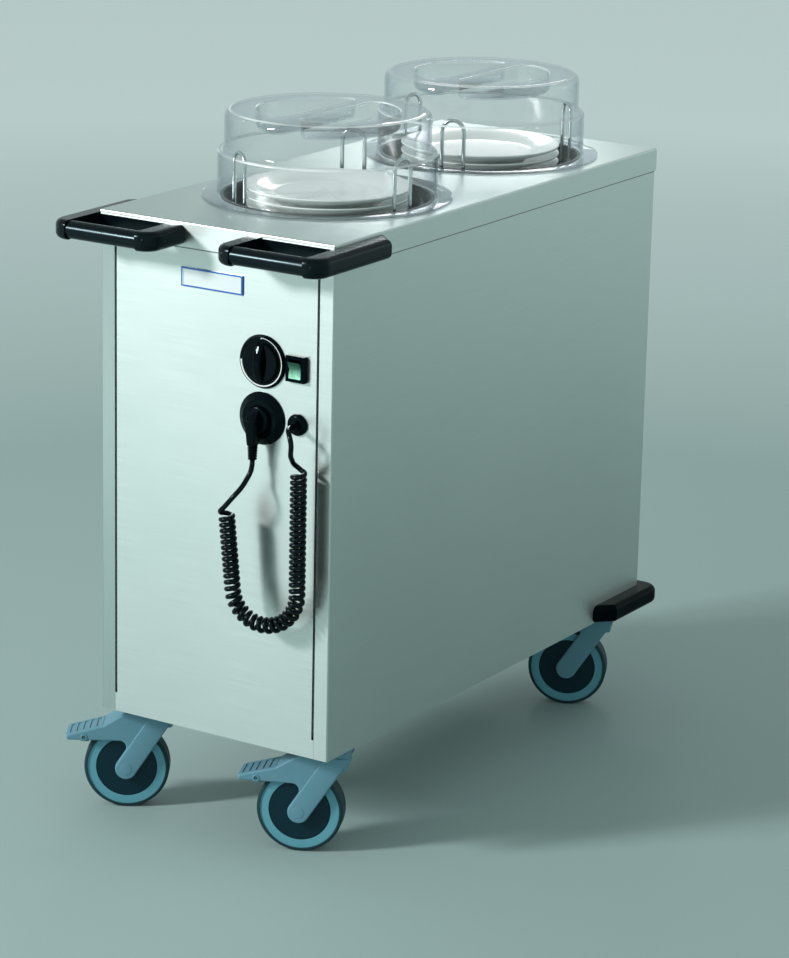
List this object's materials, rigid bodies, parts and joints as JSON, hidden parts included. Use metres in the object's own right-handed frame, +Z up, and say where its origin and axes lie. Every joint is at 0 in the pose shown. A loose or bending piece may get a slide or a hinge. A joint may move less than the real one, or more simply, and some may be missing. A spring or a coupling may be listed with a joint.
{
  "type": "heated plate dispenser",
  "caption": "Steel cabinet on braked casters with sprung, heated plate wells under clear lift-off hoods, corner push handles, dial, lit switch and a curly cord parked in its socket.",
  "frame": {"origin": "on the floor under the middle of the cabinet", "axes": "+Z up, -Y the front with the controls and the push handles, +X the right side seen from the front"},
  "size_m": [0.4985, 1.0115, 1.025],
  "materials": {
    "stainless": "brushed stainless sheet",
    "inner_steel": "plain stainless sheet",
    "polished_rod": "polished rod",
    "spring_steel": "spring wire",
    "heater_steel": "dull tube",
    "zinc": "zinc plated",
    "black_casting": "glossy moulded black",
    "black_fitting": "satin moulded black",
    "lit_green": "clear green, lit from behind",
    "badge_white": "blank plate with a blue border",
    "cord_black": "smooth black sheath",
    "wire_grey": "wire sheath",
    "fitting_grey": "moulded grey",
    "clear_hood": "clear moulded shell",
    "porcelain": "white glaze",
    "fork_grey": "light blue-grey moulding",
    "rim_grey": "light blue-grey moulding",
    "guard_dark": "dark blue-grey disc",
    "tyre_grey": "dark grey tread"
  },
  "bodies": {
    "cabinet": {"top_plate": "stainless", "side_panel_left": "stainless", "side_panel_right": "stainless", "front_panel": "stainless", "rear_panel": "stainless", "floor_pan": "inner_steel", "well_front": "inner_steel", "well_rear": "inner_steel", "guide_rods_front": "polished_rod", "guide_rods_rear": "polished_rod", "springs_front": "spring_steel", "springs_rear": "spring_steel", "heaters": "heater_steel", "caster_heads": "zinc", "handle_left": "black_casting", "handle_right": "black_casting", "rear_bumpers": "black_casting", "dial_ring": "black_fitting", "switch_frame": "black_fitting", "parking_socket": "black_fitting", "cord_gland": "black_fitting", "badge_plate": "badge_white", "cord_lead_plug": "cord_black", "cord_curls": "cord_black", "cord_lead_gland": "cord_black", "wiring": "wire_grey", "inner_fittings": "fitting_grey"},
    "platform_front": {"platform_front": "inner_steel", "plates_front": "porcelain"},
    "platform_rear": {"platform_rear": "inner_steel", "plates_rear": "porcelain"},
    "hood_front": {"hood_front": "clear_hood", "hood_grip_front": "clear_hood"},
    "hood_rear": {"hood_rear": "clear_hood", "hood_grip_rear": "clear_hood"},
    "dial": {"dial_knob": "black_fitting"},
    "rocker": {"switch_rocker": "lit_green"},
    "plug": {"plug": "black_fitting"},
    "pedal_left": {"pedal_left": "fork_grey"},
    "pedal_right": {"pedal_right": "fork_grey"},
    "fork_front_left": {"fork_front_left": "fork_grey", "axle_front_left": "zinc"},
    "wheel_front_left": {"wheel_front_left": "rim_grey", "tyre_front_left": "tyre_grey", "guards_front_left": "guard_dark"},
    "fork_front_right": {"fork_front_right": "fork_grey", "axle_front_right": "zinc"},
    "wheel_front_right": {"wheel_front_right": "rim_grey", "tyre_front_right": "tyre_grey", "guards_front_right": "guard_dark"},
    "fork_rear_left": {"fork_rear_left": "fork_grey", "axle_rear_left": "zinc"},
    "wheel_rear_left": {"wheel_rear_left": "rim_grey", "tyre_rear_left": "tyre_grey", "guards_rear_left": "guard_dark"},
    "fork_rear_right": {"fork_rear_right": "fork_grey", "axle_rear_right": "zinc"},
    "wheel_rear_right": {"wheel_rear_right": "rim_grey", "tyre_rear_right": "tyre_grey", "guards_rear_right": "guard_dark"}
  },
  "joints": [
    {"name": "swivel_front_left", "type": "hinge", "parent": "cabinet", "child": "fork_front_left", "pos_m": [-0.154, -0.383, 0.14], "axis": [0, 0, 1], "continuous": true},
    {"name": "roll_front_left", "type": "hinge", "parent": "fork_front_left", "child": "wheel_front_left", "pos_m": [-0.18637, -0.40291, 0.0625], "axis": [0.524, -0.8517, 0], "continuous": true},
    {"name": "brake_left", "type": "hinge", "parent": "fork_front_left", "child": "pedal_left", "pos_m": [-0.23917, -0.4354, 0.11], "axis": [0.524, -0.8517, 0], "range_deg": [0, 12]},
    {"name": "swivel_front_right", "type": "hinge", "parent": "cabinet", "child": "fork_front_right", "pos_m": [0.154, -0.383, 0.14], "axis": [0, 0, 1], "continuous": true},
    {"name": "roll_front_right", "type": "hinge", "parent": "fork_front_right", "child": "wheel_front_right", "pos_m": [0.11918, -0.39821, 0.0625], "axis": [0.4003, -0.9164, 0], "continuous": true},
    {"name": "brake_right", "type": "hinge", "parent": "fork_front_right", "child": "pedal_right", "pos_m": [0.06236, -0.42303, 0.11], "axis": [0.4003, -0.9164, 0], "range_deg": [0, 12]},
    {"name": "swivel_rear_left", "type": "hinge", "parent": "cabinet", "child": "fork_rear_left", "pos_m": [-0.154, 0.383, 0.14], "axis": [0, 0, 1], "continuous": true},
    {"name": "roll_rear_left", "type": "hinge", "parent": "fork_rear_left", "child": "wheel_rear_left", "pos_m": [-0.18786, 0.36575, 0.0625], "axis": [0.454, -0.891, 0], "continuous": true},
    {"name": "swivel_rear_right", "type": "hinge", "parent": "cabinet", "child": "fork_rear_right", "pos_m": [0.154, 0.383, 0.14], "axis": [0, 0, 1], "continuous": true},
    {"name": "roll_rear_right", "type": "hinge", "parent": "fork_rear_right", "child": "wheel_rear_right", "pos_m": [0.11918, 0.36779, 0.0625], "axis": [0.4003, -0.9164, 0], "continuous": true},
    {"name": "stack_front", "type": "slide", "parent": "cabinet", "child": "platform_front", "axis": [0, 0, 1], "range_m": [-0.4, 0], "stiffness_N_per_m": 550, "springref_m": 0.09, "deforming": ["springs_front"]},
    {"name": "hood_lift_front", "type": "slide", "parent": "cabinet", "child": "hood_front", "axis": [0, 0, 1], "range_m": [0, 0.2]},
    {"name": "stack_rear", "type": "slide", "parent": "cabinet", "child": "platform_rear", "axis": [0, 0, 1], "range_m": [-0.4, 0], "stiffness_N_per_m": 550, "springref_m": 0.09, "deforming": ["springs_rear"]},
    {"name": "hood_lift_rear", "type": "slide", "parent": "cabinet", "child": "hood_rear", "axis": [0, 0, 1], "range_m": [0, 0.2]},
    {"name": "dial_turn", "type": "hinge", "parent": "cabinet", "child": "dial", "pos_m": [0.0807, -0.4505, 0.7222], "axis": [0, 1, 0], "range_deg": [0, 270]},
    {"name": "rocker_tip", "type": "hinge", "parent": "cabinet", "child": "rocker", "pos_m": [0.138, -0.4525, 0.721], "axis": [-1, 0, 0], "range_deg": [0, 18]},
    {"name": "plug_pull", "type": "slide", "parent": "cabinet", "child": "plug", "axis": [0, -1, 0], "range_m": [0, 0.04], "deforming": ["cord_lead_plug"]}
  ]
}
